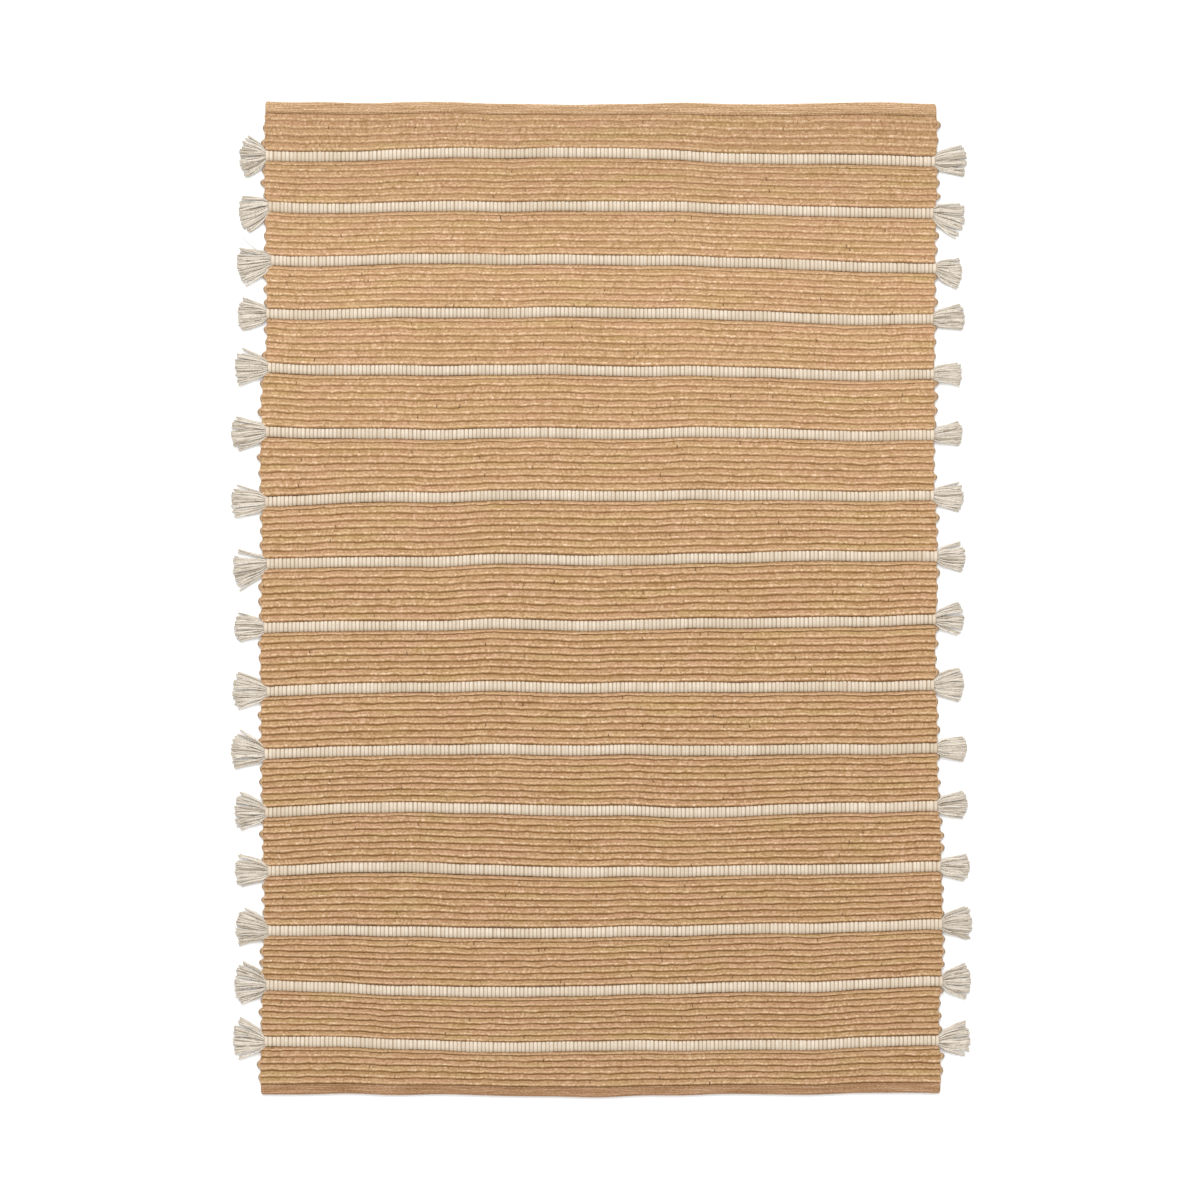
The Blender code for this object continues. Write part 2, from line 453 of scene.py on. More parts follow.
def jute_finish():
    """Spun jute, matt and a little uneven. The mesh keeps warp yarns, ribs and the place along the rug."""
    jute = Finish("jute_weft", roughness=0.88, sheen=0.08)
    warp, rib, along = jute.kept("weave")
    relief = 0.30 + along.rise(0.0, 0.10) * 0.20 + along.rise(0.12, 0.62) * 0.50
    wander = jute.noise(warp * 0.42, rib * 0.9, detail=4.0)
    share = (rib + (wander - 0.5) * 0.38).fract()
    pick = (rib * 2.0).floor()
    warp = warp + pick * 0.5 + jute.noise(warp * 0.07, rib * 0.8, 21.0) * 3.0
    yarn = warp.fract()
    cell = jute.chance(warp.floor(), pick)
    strands = jute.noise(warp * 0.35, rib * 6.5, 9.0)
    fibre = jute.noise(warp * 0.80, rib * 4.6, detail=3.0)
    stipple = jute.noise(warp * 0.045, rib * 0.35, 3.0).rise(0.36, 0.60)

    # Painted shade: each groove between ribs is painted dark, reaching further up the lower side of a crest,
    # which faces away from the light.
    lower_side = share.rise(0.66, 0.95)
    upper_side = share.rise(0.20, 0.0)
    uneven = jute.noise(warp * 0.10, rib * 1.3, 6.0, detail=4.0)
    groove = lower_side.most(upper_side) * relief * (uneven * 2.5 - 0.35).least(1.0)
    # Painted shade in the shallow dip between a rib's two picks.
    shade_between_picks = share.rise(0.34, 0.44) * share.rise(0.54, 0.47) * (uneven * 1.6 - 0.3) * (1.4 - relief)
    swelling = jute.noise(warp * 0.20, rib * 1.1, 12.0, detail=3.0)
    # Painted highlight: the raised second pick of each rib is painted bright, as light on its crest.
    crest_highlight = share.rise(0.42, 0.60) * share.rise(0.86, 0.68) * (swelling * 2.2 - 0.30).least(1.0)
    # Painted shade in the slits between warp yarns, here and there along each pick.
    slit_shade = yarn.rise(0.30, 0.5) * yarn.rise(0.70, 0.5) * (0.25 + stipple * 0.75)
    slit_shade = slit_shade * jute.chance(warp.floor() + 31.0, pick).rise(0.25, 0.85)

    pick_tone = jute.noise(warp * 0.016, pick * 5.3, detail=3.0)
    hue = jute.noise(warp * 0.028, rib * 0.5, 17.0)
    colour = jute.mix(hue.rise(0.42, 0.64) * 0.8, JUTE_MIDDLE, JUTE_ROSY)
    colour = jute.mix(hue.rise(0.46, 0.32) * 0.7, colour, JUTE_GOLDEN)
    colour = jute.mix(pick_tone.rise(0.52, 0.30) * 0.8, colour, JUTE_LOW_TONE_AND_SHADE)
    # The painted highlight of the crests.
    colour = jute.mix(crest_highlight, colour, JUTE_CREST_HIGHLIGHT)
    fleck = cell.rise(0.80, 1.0) * (0.2 + crest_highlight * 0.8) * (0.1 + stipple * 0.4)
    colour = jute.mix(fleck, colour, JUTE_FLECK)
    grain = 1.0 + (cell - 0.5) * (0.14 + stipple * 0.22) + (fibre - 0.5) * 1.5 + (strands - 0.5) * 0.5
    colour = jute.mix(1.0, colour, jute.vector(grain**0.85, grain**1.1, grain**1.6), "MULTIPLY")
    # The painted shade between the picks and in the slits takes the colour of the low picks, whose own tone
    # is darker at random.
    colour = jute.mix(shade_between_picks.most(slit_shade * 0.9), colour, JUTE_LOW_TONE_AND_SHADE)
    # The painted shade of the grooves.
    colour = jute.mix(groove, colour, JUTE_GROOVE_SHADE)
    knot = jute.chance(warp.floor() + 7.0, pick + 3.0).rise(0.994, 0.998)
    knot = knot * yarn.rise(0.0, 0.35) * yarn.rise(1.0, 0.65)
    colour = jute.mix(knot * fibre.rise(0.35, 0.55), colour, JUTE_KNOT)
    # Painted shade: the cloth is darkened towards the rug's last edge, as the light falls off away from the
    # far end, and it is also darkened a little near the first edge.
    painted_shade_along = along.rise(-0.1, 1.1).most(along.rise(0.20, 0.0))
    colour = jute.mix(painted_shade_along, colour, jute.mix(1.0, colour, SHADE_ALONG_THE_RUG, "MULTIPLY"))
    jute.colour(colour)
    round_yarn = (yarn * pi).sine()
    jute.bump(round_yarn * 0.4 + fibre * 0.7 + strands * 0.4 + cell * 0.2, distance=0.6 * MM, strength=0.8)
    return jute.material


def rib_rows(ribs):
    """How many ribs lie before each row of a half band, and how deep it is under the crest, in metres."""
    shares, depths = [], []
    for rib in range(ribs):
        for share, depth in RIB_SECTION:
            shares.append(rib + share)
            depths.append(depth * MM)
    shares.append(float(ribs))
    depths.append(RIB_SECTION[0][1] * MM)
    return np.array(shares), np.array(depths)


# The loops of weft at the selvedge: the yarn as a share of the loop's radius, how deep in the cloth a loop
# starts, how many mm it stands out, its width as a share of two ribs, its shift along and its flatness
TURN_THICKNESS = 0.42
TURN_SINK = 5 * MM
TURN_PROUD = (3.5, 9.0)
TURN_WIDTH = (0.80, 1.15)
TURN_SHIFT = 1 * MM
TURN_FLATNESS = 0.85
TURN_RIM_SHADE_AND_DARK_STRANDS = (0.156, 0.103, 0.062, 1.0)
TURN_BODY = (0.464, 0.299, 0.170, 1.0)


def weft_turn():
    """The loop of a weft that turns round at the selvedge: half a ring of unit radius, open to the cloth."""
    ring = Matrix.Translation((0, 1, 0)) @ Matrix.Rotation(pi / 2, 4, "Y")
    return swept(8, TURN_THICKNESS, ring, axis=(0, 0, -1), steps=10, angle=pi)


def turn_finish():
    """The bare weft at the selvedge, with painted shade on the outer rim of each loop and darker strands here
    and there.
    """
    turn = Finish("jute_weft_turns", roughness=0.9, sheen=0.05)
    out, round_it, number = turn.kept("turn")
    strands = turn.noise(out * 2.0, round_it * 7.0, number, detail=3.0)
    # Painted shade on the outer rim of each loop.
    colour = turn.mix(out.rise(0.62, 1.0) * (0.4 + strands * 0.9).least(1.0), TURN_BODY, TURN_RIM_SHADE_AND_DARK_STRANDS)
    colour = turn.mix(strands.rise(0.58, 0.36) * 0.4, colour, TURN_RIM_SHADE_AND_DARK_STRANDS)
    turn.colour(colour)
    turn.bump(strands, distance=0.5 * MM, strength=0.8)
    return turn.material


def weft_turns(name, band, grooves, first_groove, material):
    """The loops along both selvedges of a half band, one for every two ribs, on each side in turn."""
    last = len(grooves) - (grooves[-1] in band_ends)
    shape = bmesh.new()
    facts = []
    chance = np.random.default_rng(700 + first_groove)
    for side in (-1, 1):
        for line in range(1, last):
            if (first_groove + line + (side > 0)) % 2:
                continue
            pitch = abs(grooves[line - 1] - grooves[min(line + 1, len(grooves) - 1)]) / 2
            pitch = pitch if line + 1 < len(grooves) else abs(grooves[line - 1] - grooves[line])
            radius = pitch / 2 * chance.uniform(*TURN_WIDTH)
            proud = chance.uniform(*TURN_PROUD) * MM
            y = grooves[line] + chance.uniform(-1, 1) * TURN_SHIFT
            edge = (right_selvedge if side > 0 else left_selvedge)(np.array([y]))[0]
            reach = (TURN_SINK + proud) / (1 + TURN_THICKNESS)
            turn = weft_turn()
            bmesh.ops.scale(turn, vec=(side * reach, radius, radius * TURN_FLATNESS), verts=turn.verts[:])
            if side < 0:
                bmesh.ops.reverse_faces(turn, faces=turn.faces[:])
            strayed = stray(np.array([edge]), np.array([y]), band)[0]
            place = (edge - side * TURN_SINK, y + strayed, MIDDLE_HEIGHT)
            bmesh.ops.translate(turn, vec=place, verts=turn.verts[:])
            for vert in turn.verts:
                out = abs(vert.co.x - place[0]) / (TURN_SINK + proud)
                round_it = (vert.co.z - MIDDLE_HEIGHT) / (radius * TURN_THICKNESS)
                facts.append((out, round_it, first_groove + line + side))
            mesh = mesh_of(turn, "turn")
            shape.from_mesh(mesh)
            bpy.data.meshes.remove(mesh)
    mesh = mesh_of(shape, name)
    remember(mesh, "turn", np.array(facts))
    return finished(name, mesh, material)


# At the selvedge each rib's end bulges by itself, over a share of the half width and by so many mm. The
# cloth's edge is rounded.
END_REACH = 0.015
END_BULGE = (0.3, 2.2)
EDGE_ROUND = 6 * MM
EDGE_START = 1.5 * MM

# Each rib swells and thins along its length, by a share of its depth
SWELL = 0.28
SWELL_LENGTHS = (0.013, 0.037)

# The ribs are pressed flatter towards the rug's first edge: shares of the rug's length and of the full depth
RELIEF_PLACES = (0.0, 0.08, 0.58)
RELIEF = (0.45, 0.62, 1.0)


def half_band(name, band, grooves, first_groove, material):
    """One half of a band between two of its grooves. grooves are the y of the lines between its ribs."""
    ribs = len(grooves) - 1
    shares, depths = rib_rows(ribs)
    mesh = pad_of_cloth(COLUMNS, len(shares) - 1)
    points = points_of(mesh)
    row = np.rint((1 - points[:, 1]) / 2 * (len(shares) - 1)).astype(int)
    top = points[:, 2] > 0.5
    places = np.sin(points[:, 0] * EDGE_CROWDING * pi / 2) / sin(EDGE_CROWDING * pi / 2)
    share, depth = shares[row], depths[row]
    y = np.interp(share, range(ribs + 1), grooves)
    chance = np.random.default_rng(500 + first_groove)
    for side in (-1, 1):
        bulge = chance.uniform(*END_BULGE, ribs)[np.minimum(share.astype(int), ribs - 1)] * MM
        reach = np.clip((side * places - 1 + END_REACH) / END_REACH, 0, 1)
        places = places + side * reach * bulge * np.sin(pi * (share % 1.0)) / HALF_WIDTH
    x = spread_across(places, y)
    waves = [rib_wave(x, first_groove + line) * (grooves[line] not in band_ends) for line in range(ribs + 1)]
    lines = np.array(waves)
    below = np.minimum(share.astype(int), ribs - 1)
    across = np.arange(len(x))
    wave = lines[below, across] + (lines[below + 1, across] - lines[below, across]) * (share - below)
    from_edge = np.minimum(right_selvedge(y) - x, x - left_selvedge(y))
    inside = np.clip((from_edge + EDGE_START) / EDGE_ROUND, 0, 1)
    rounding = np.sqrt(np.clip(1 - (1 - inside) ** 2, 0.02, 1))
    short_wave, long_wave = (x / length for length in SWELL_LENGTHS)
    swell = 1 + SWELL * np.sin(short_wave + 5 * below + first_groove) * np.sin(long_wave + 2.3 * below)
    along = (line_places[0] - y) / (line_places[0] - line_places[-1])
    relief = np.interp(along, RELIEF_PLACES, RELIEF)
    half_thickness = (MIDDLE_HEIGHT - depth * swell * relief) * rounding
    height = np.where(top, MIDDLE_HEIGHT + half_thickness, MIDDLE_HEIGHT - half_thickness)
    set_points(mesh, np.stack([x, y + stray(x, y, band) + wave, height], axis=1))
    remember(mesh, "weave", np.stack([places * HALF_WIDTH / WARP_PITCH, share + first_groove, along], axis=1))
    return finished(name, mesh, material)


def bend_over_cord(piece, cord):
    """Bakes a piece's place into its mesh. The cord, numbered from 0, is not used."""
    f"band_{cord + 1:02d}"
    f"band_{cord + 2:02d}"
    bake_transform(piece)


jute_weft = jute_finish()
jute_turns = turn_finish()
band_ends = {place for low, high in band_boxes for place in (low.y, high.y)}
band_ends.add(band_boxes[-1][0].y - LAST_RIB_OUT)
groove_count = 0
for band, (low, high) in enumerate(band_boxes):
    grooves = [high.y]
    if band > 0:
        grooves.append(high.y - NARROW_RIB)
    last = low.y - (LAST_RIB_OUT if band == BANDS - 1 else 0.0)
    grooves += list(np.linspace(grooves[-1], last, BAND_RIBS[band] + 1)[1:])
    grooves[-1] = last
    split = len(grooves) // 2
    for half, lines in (("first", grooves[: split + 1]), ("second", grooves[split:])):
        number = f"{band + 1:02d}_{half}_half"
        first_groove = groove_count + (0 if half == "first" else split)
        piece = half_band(f"woven_band_{number}", band, lines, first_groove, jute_weft)
        turns = weft_turns(f"weft_turns_{number}", band, lines, first_groove, jute_turns)
        cord = band - 1 if half == "first" else band
        for part in (piece, turns):
            if 0 <= cord < BANDS - 1:
                bend_over_cord(part, cord)
            else:
                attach(part, f"band_{band + 1:02d}")
        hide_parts(f"woven_band_{band + 1:02d}")
        abs(lines[0] - lines[-1])
    groove_count += len(grooves)


# --- Cords ---
# Thick bundles of white cotton laid in as single wefts. A warp yarn ties each one down every few millimetres,
# which pulls its surface in between round pillows. The cord fills the room between two bands.

CORD_THICKNESS = cord_boxes[0][1].z
CORD_WIDTH = CORD_THICKNESS * 1.80
CORD_SIDES = 14
CORD_SQUARENESS = 0.78
CORD_PROUD = 1.5 * MM
PILLOWS = 168
PILLOW_SHIFT = 0.10
TIE_THICKNESS = 1.2 * MM

# A pillow as (share of the pitch, share of the cord's full thickness), from one crease to the next
PILLOW = ((0.0, 0.86), (0.10, 0.93), (0.28, 1.0), (0.72, 1.0), (0.90, 0.93))

COTTON_BODY = (0.536, 0.446, 0.344, 1.0)
COTTON_BRIGHT = (0.688, 0.607, 0.500, 1.0)
COTTON_CREASE_SHADE = (0.312, 0.223, 0.138, 1.0)
COTTON_SHADE = (0.446, 0.348, 0.237, 1.0)
COTTON_EDGE_SHADE_AND_JUTE = (0.435, 0.268, 0.142, 1.0)
TIE_YARN = (0.375, 0.281, 0.183, 1.0)


def cotton_finish():
    """Soft unbleached cotton, with painted shade in its creases and on its side away from the light, and
    painted shade with the brown of the jute warp along its edges by the bands. The mesh keeps pillows and
    turns round the cord.
    """
    cotton = Finish("cotton_cord", roughness=0.92, sheen=0.12)
    pillow, turn, along = cotton.kept("lay")
    share = pillow.fract()
    number = pillow.floor()
    tone = cotton.chance(number, along.floor())
    strands = cotton.noise(pillow * 0.5, turn * 9.0, number * 1.7, detail=3.0)
    # Painted shade in the creases where the ties draw the cord in, deeper in some creases than others.
    crease = share.rise(0.19, 0.05).most(share.rise(0.81, 0.95))
    blotch = cotton.noise(pillow * 0.06, along * 3.1, 4.0)
    colour = cotton.mix(tone * 0.45 + strands.rise(0.35, 0.7) * 0.4, COTTON_BODY, COTTON_BRIGHT)
    colour = cotton.mix(blotch.rise(0.45, 0.75) * 0.4, colour, COTTON_SHADE)
    # Painted shade on the cord's side towards the rug's last edge, away from the light.
    colour = cotton.mix(turn.rise(0.85, 1.75) * 0.65, colour, COTTON_SHADE)
    crease_shade_depth = 0.55 + cotton.chance(number + 11.0, along.floor()) * 0.45
    colour = cotton.mix(crease * crease_shade_depth, colour, COTTON_CREASE_SHADE)
    # Partly painted shade in the crevice where the cord meets the bands, partly the brown of the jute warp
    # that wraps the cord there.
    shade_and_jute_beside_the_bands = turn.rise(1.55, 1.80).most(turn.rise(0.36, 0.14))
    colour = cotton.mix(shade_and_jute_beside_the_bands * 0.9, colour, COTTON_EDGE_SHADE_AND_JUTE)
    cotton.colour(colour)
    cotton.bump(strands - crease * 0.5, distance=0.5 * MM, strength=0.7)
    return cotton.material


def tie_finish():
    """The undyed yarn of the warp, a darker tan than the cotton."""
    yarn = Finish("tie_yarn", roughness=0.92)
    number, turn, along = yarn.kept("lay")
    twist = yarn.noise(turn * 14.0, number * 5.3, along)
    colour = yarn.mix(twist.rise(0.35, 0.65) * 0.6, TIE_YARN, COTTON_CREASE_SHADE)
    # The same painted shade and jute brown where the ties meet the bands.
    colour = yarn.mix(turn.rise(1.55, 1.80).most(turn.rise(0.36, 0.14)) * 0.9, colour, COTTON_EDGE_SHADE_AND_JUTE)
    yarn.colour(colour)
    yarn.bump(twist, distance=0.3 * MM, strength=0.6)
    return yarn.material


def cord_ends(place):
    """x of a cord's left and right end."""
    y = np.array([place])
    return left_selvedge(y)[0] - CORD_PROUD, right_selvedge(y)[0] + CORD_PROUD


def cord_tube():
    """A straight round tube of unit radius, with a ring for every step of every pillow."""
    ring = Matrix.Rotation(pi / 2, 4, "Y")
    shape = swept(CORD_SIDES, 1.0, ring, axis=(1, 0, 0), steps=PILLOWS * len(PILLOW), stride=(1, 0, 0))
    return mesh_of(shape, "cord_tube")


def row_of(shape, count, step):
    """Repeats everything in a bmesh along x, count times in all, by doubling it again and again."""
    made = 1
    while made < count:
        wanted = min(made, count - made) * step - step / 10
        start = min(vert.co.x for vert in shape.verts)
        taken = [face for face in shape.faces if face.calc_center_median().x < start + wanted]
        geom = dict.fromkeys(part for face in taken for part in (*face.verts, *face.edges, face))
        copy = bmesh.ops.duplicate(shape, geom=list(geom))["geom"]
        verts = [part for part in copy if isinstance(part, bmesh.types.BMVert)]
        bmesh.ops.translate(shape, vec=(made * step, 0, 0), verts=verts)
        made += min(made, count - made)


def tie_row():
    """Half rings of unit radius, one unit apart, each of four sides: the yarns that tie one cord down."""
    ring = Matrix.Translation((0, 1, 0))
    shape = swept(4, TIE_THICKNESS / CORD_WIDTH, ring, axis=(1, 0, 0), steps=8, angle=pi)
    row_of(shape, PILLOWS - 1, 1.0)
    return mesh_of(shape, "tie_row")


def pillow_shifts(cord):
    """How far each crease of a cord lies from its even place, as a share of a pillow."""
    shifts = np.random.default_rng(900 + cord).uniform(-PILLOW_SHIFT, PILLOW_SHIFT, PILLOWS + 1)
    shifts[0] = shifts[-1] = 0.0
    return shifts


def flattened(round_value):
    """Turns a circle's cosine or sine into that of a squarer round, as of a soft bundle pressed flat."""
    return np.sign(round_value) * np.abs(round_value) ** CORD_SQUARENESS


def laid_cord(name, cord, tube, material):
    """One cord from selvedge to selvedge: a flattened round bundle, drawn in at each tie."""
    left, right = cord_ends(cord_places[cord])
    mesh = tube.copy()
    points = points_of(mesh)
    ring = np.rint(points[:, 0] - points[:, 0].min()).astype(int)
    turn = np.arctan2(points[:, 2], points[:, 1])
    number, step = ring // len(PILLOW), ring % len(PILLOW)
    share = number + np.array([share for share, full in PILLOW])[step]
    full = np.array([full for share, full in PILLOW])[step]
    full = full * np.random.default_rng(300 + cord).uniform(0.95, 1.02, PILLOWS + 1)[number]
    x = left + (right - left) * (share + pillow_shifts(cord)[number]) / PILLOWS
    swell = 1 + 0.05 * np.sin(x / 0.031 + cord) * np.sin(x / 0.087 + 2 * cord)
    y = flattened(np.cos(turn)) * CORD_WIDTH / 2 * full * swell
    height = hinge_height + flattened(np.sin(turn)) * CORD_THICKNESS / 2 * full
    place = np.full_like(x, cord_places[cord])
    set_points(mesh, np.stack([x, place + y + stray(x, place, cord), height], axis=1))
    remember(mesh, "lay", np.stack([share, np.abs(turn) / (pi / 2), np.full_like(x, cord + 0.5)], axis=1))
    return finished(name, mesh, material)


def ties(name, cord, row, material):
    """The warp yarns that tie one cord down, one over each crease."""
    left, right = cord_ends(cord_places[cord])
    mesh = row.copy()
    points = points_of(mesh)
    number = np.rint(points[:, 0]).astype(int) + 1
    x = left + (right - left) * (number + pillow_shifts(cord)[number]) / PILLOWS
    x = x + (points[:, 0] + 1 - number) * CORD_WIDTH / 2
    turn = np.arctan2(points[:, 2], points[:, 1])
    outside = np.hypot(points[:, 1], points[:, 2])
    y = flattened(np.cos(turn)) * outside * CORD_WIDTH / 2 * 0.93
    height = hinge_height + flattened(np.sin(turn)) * outside * CORD_THICKNESS / 2 * 0.86
    place = np.full_like(x, cord_places[cord])
    set_points(mesh, np.stack([x, place + y + stray(x, place, cord), height], axis=1))
    remember(mesh, "lay", np.stack([number, np.abs(turn) / (pi / 2), np.full_like(x, cord + 0.5)], axis=1))
    return finished(name, mesh, material)


cotton_cord = cotton_finish()
tie_yarn = tie_finish()
tube, row = cord_tube(), tie_row()
for cord in range(BANDS - 1):
    number = f"{cord + 1:02d}"
    piece = laid_cord(f"cord_{number}", cord, tube, cotton_cord)
    bend_over_cord(piece, cord)
    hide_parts(f"cord_with_tassels_{number}")
    tied = ties(f"cord_{number}_ties", cord, row, tie_yarn)
    bend_over_cord(tied, cord)


# --- Tassels ---
# The cut ends of the cords, outside the selvedge. The bundle opens into its plied cotton strands, which fan
# out, lie on one another and on the floor, and are cut off straight.

STRANDS = 48
STRAND_THICKNESS = 2.7 * MM
STRAND_POINTS = 9
STRAY_HAIRS = 3
HAIR_THINNESS = 0.30
GOLDEN_TURN = 2.39996

# Bends as shares of the length, a hair's turn as a share of the outer strands' angle, and the waver in mm
STRAND_BEND = 0.10
STRAND_WAVER = (0.3, 1.3)
HAIR_BEND = 0.3
HAIR_TURN = 1.25
CLUMPING = 0.13
SCATTER = 0.09

# Where a tassel starts inside the cord, how high it lies, how its strands lie on each other, and how far out
# they have opened and come down to the floor
TASSEL_ROOT = 4 * MM
TASSEL_FLOOR = 0.6 * MM
LAYER_HEIGHT = 1.9 * MM
OPENING_REACH = 8 * MM
SETTLING_REACH = 30 * MM

# Each tassel as the angles of its outer strands in degrees, towards the rug's first edge and towards its
# last, and its length in mm
LEFT_TASSELS = (
    (34, 42, 48), (7, 48, 56), (16, 34, 63), (17, 24, 52), (22, 20, 60), (17, 23, 63),
    (17, 20, 62), (10, 36, 63), (16, 12, 54), (23, 20, 62), (31, 18, 61), (30, 22, 56),
    (20, 17, 60), (31, 18, 60), (38, 29, 58), (37, 22, 58),
)
RIGHT_TASSELS = (
    (22, 15, 58), (11, 41, 58), (10, 38, 47), (14, 8, 56), (11, 7, 51), (12, 4, 51),
    (10, 18, 54), (18, 22, 50), (24, 19, 51), (29, 20, 54), (12, 15, 53), (18, 10, 54),
    (10, 14, 53), (25, 20, 55), (23, 25, 51), (30, 18, 56),
)
TASSEL_BODY = (0.500, 0.442, 0.366, 1.0)
TASSEL_BRIGHT = (0.705, 0.643, 0.558, 1.0)
TASSEL_SHADE = (0.285, 0.228, 0.160, 1.0)


def strand_finish():
    """Loose cotton strands, matt, each a slightly different white. The mesh keeps strands, run and height."""
    cotton = Finish("cotton_strands", roughness=0.95, sheen=0.12)
    strand, run, height = cotton.kept("lay")
    tone = cotton.chance(strand, 0.0)
    twist = cotton.noise(run * 22.0, strand * 3.7, height * 4.0, detail=3.0)
    light = tone.rise(0.25, 0.95) * 0.8 + twist.rise(0.40, 0.65) * 0.2
    colour = cotton.mix(light, TASSEL_BODY, TASSEL_BRIGHT)
    # Painted shade on the upward faces of the lower strands, seen between the upper ones, together with some
    # strands that are darker in themselves.
    low_strand_shade_and_dark_strands = height.rise(0.48, 0.16).most(tone.rise(0.22, 0.08))
    colour = cotton.mix(low_strand_shade_and_dark_strands.most(twist.rise(0.42, 0.28)) * 0.8, colour, TASSEL_SHADE)
    cotton.colour(colour)
    cotton.bump(twist, distance=0.6 * MM, strength=0.7)
    return cotton.material


def tassel(name, cord, side, upper, lower, length, material):
    """One tassel. side is -1 at the left selvedge. upper and lower are its outer angles in radians."""
    chance = np.random.default_rng(2000 + 2 * cord + (side > 0))
    root_x = cord_ends(cord_places[cord])[0 if side < 0 else 1] - side * TASSEL_ROOT
    root = np.array([root_x])
    root_y = cord_places[cord] + stray(root, np.array([cord_places[cord]]), cord)[0]
    curve = bpy.data.curves.new(name, "CURVE")
    curve.dimensions = "3D"
    curve.bevel_depth = STRAND_THICKNESS / 2
    curve.bevel_resolution = 1
    curve.use_fill_caps = True
    for strand in range(STRANDS + STRAY_HAIRS):
        # A sunflower's layout fills the cord's section evenly. The place across decides the place in the fan.
        out = ((strand + 0.5) / (STRANDS + STRAY_HAIRS)) ** 0.5
        around = strand * GOLDEN_TURN
        across, up = out * cos(around), out * sin(around)
        hair = strand >= STRANDS
        clump = CLUMPING * sin(4.5 * across * pi + 2.0 * cord) + chance.uniform(-SCATTER, SCATTER)
        fan = min(max(across + clump, -1.0), 1.0)
        angle = upper * (1 + fan) / 2 - lower * (1 - fan) / 2
        own_length = length * (1 - 0.13 * fan * fan) * chance.uniform(0.94, 1.02)
        bend = chance.uniform(-STRAND_BEND, STRAND_BEND)
        if hair:
            angle = chance.uniform(-HAIR_TURN, HAIR_TURN) * (upper if up > 0 else lower)
            bend = chance.uniform(-HAIR_BEND, HAIR_BEND)
        waver, phase = chance.uniform(*STRAND_WAVER) * MM, chance.uniform(0, 2 * pi)
        spline = curve.splines.new("POLY")
        spline.points.add(STRAND_POINTS - 1)
        for step, point in enumerate(spline.points):
            share = step / (STRAND_POINTS - 1)
            run = share * (own_length + TASSEL_ROOT)
            outside = max(run - TASSEL_ROOT, 0.0)
            opened = outside / own_length
            spread = 1 + 0.55 * min(1.0, outside / OPENING_REACH) ** 0.7
            x = root_x + side * (min(run, TASSEL_ROOT) + outside * cos(angle))
            y = root_y + across * CORD_WIDTH * 0.45 * spread
            y += own_length * (sin(angle) * opened**0.68 + bend * opened * opened)
            y += waver * opened * sin(phase + 5 * opened)
            lying = TASSEL_FLOOR + STRAND_THICKNESS / 2 + (up + 1) * LAYER_HEIGHT * (1 - 0.35 * opened)
            tied = hinge_height + up * CORD_THICKNESS * 0.36
            settle = min(1.0, outside / SETTLING_REACH) ** 0.8
            point.co = (x, y, tied + (lying - tied) * settle, 1.0)
            thickness = 0.80 + 0.28 * min(1.0, opened * 2.2) - 0.12 * (share == 1.0)
            point.radius = HAIR_THINNESS if hair else thickness
    curve_piece = bpy.data.objects.new(name + "_strands", curve)
    scene.collection.objects.link(curve_piece)
    bpy.context.view_layer.update()
    mesh = bpy.data.meshes.new_from_object(curve_piece.evaluated_get(bpy.context.evaluated_depsgraph_get()))
    bpy.data.objects.remove(curve_piece, do_unlink=True)
    bpy.data.curves.remove(curve)
    shape = bmesh.new()
    shape.from_mesh(mesh)
    bmesh.ops.remove_doubles(shape, verts=shape.verts[:], dist=0.01 * MM)
    bmesh.ops.recalc_face_normals(shape, faces=shape.faces[:])
    shape.to_mesh(mesh)
    shape.free()
    points = points_of(mesh)
    number = np.arange(len(points)) * (STRANDS + STRAY_HAIRS) // len(points)
    run = (points[:, 0] - root_x) * side / length
    normals = np.empty(len(points) * 3, np.float32)
    mesh.vertices.foreach_get("normal", normals)
    # Faces that turn down count as higher, so the painted shade of the lower strands stays on their upward
    # faces.
    height = points[:, 2] / CORD_THICKNESS + 0.5 * np.clip(-normals[2::3], 0, 1)
    remember(mesh, "lay", np.stack([number + 0.5 + 100 * cord, run, height], axis=1))
    return finished(name, mesh, material)


cotton_strands = strand_finish()
for side, word, tassels in ((-1, "left", LEFT_TASSELS), (1, "right", RIGHT_TASSELS)):
    for cord, (upper, lower, length) in enumerate(tassels):
        name = f"{word}_tassel_{cord + 1:02d}"
        piece = tassel(name, cord, side, radians(upper), radians(lower), length * MM, cotton_strands)
        bend_over_cord(piece, cord)


# --- Hems ---
# The warp ends and a strip of finer jute weaving, folded under and pressed flat at each short end of the rug.
# A row of stitches close to the ribs holds the fold.

HEM_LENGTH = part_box("end_hem_top")[1].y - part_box("end_hem_top")[0].y
HEM_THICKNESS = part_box("end_hem_top")[1].z
HEM_ROWS = 18
HEM_CORNER = 6 * MM
HEM_SIDE_OUT = 1 * MM
HEM_GROOVE = 1.6 * MM
HEM_WAVE = 0.5 * MM
PICK_PITCH = 3.1 * MM
HEM_CLOTH_LIGHT = (0.530, 0.345, 0.194, 1.0)
HEM_CLOTH_MIDDLE = (0.435, 0.270, 0.142, 1.0)
HEM_GAP_SHADE = (0.259, 0.147, 0.067, 1.0)
LAST_HEM_FALL_OFF_SHADE = (0.740, 0.660, 0.630, 1.0)


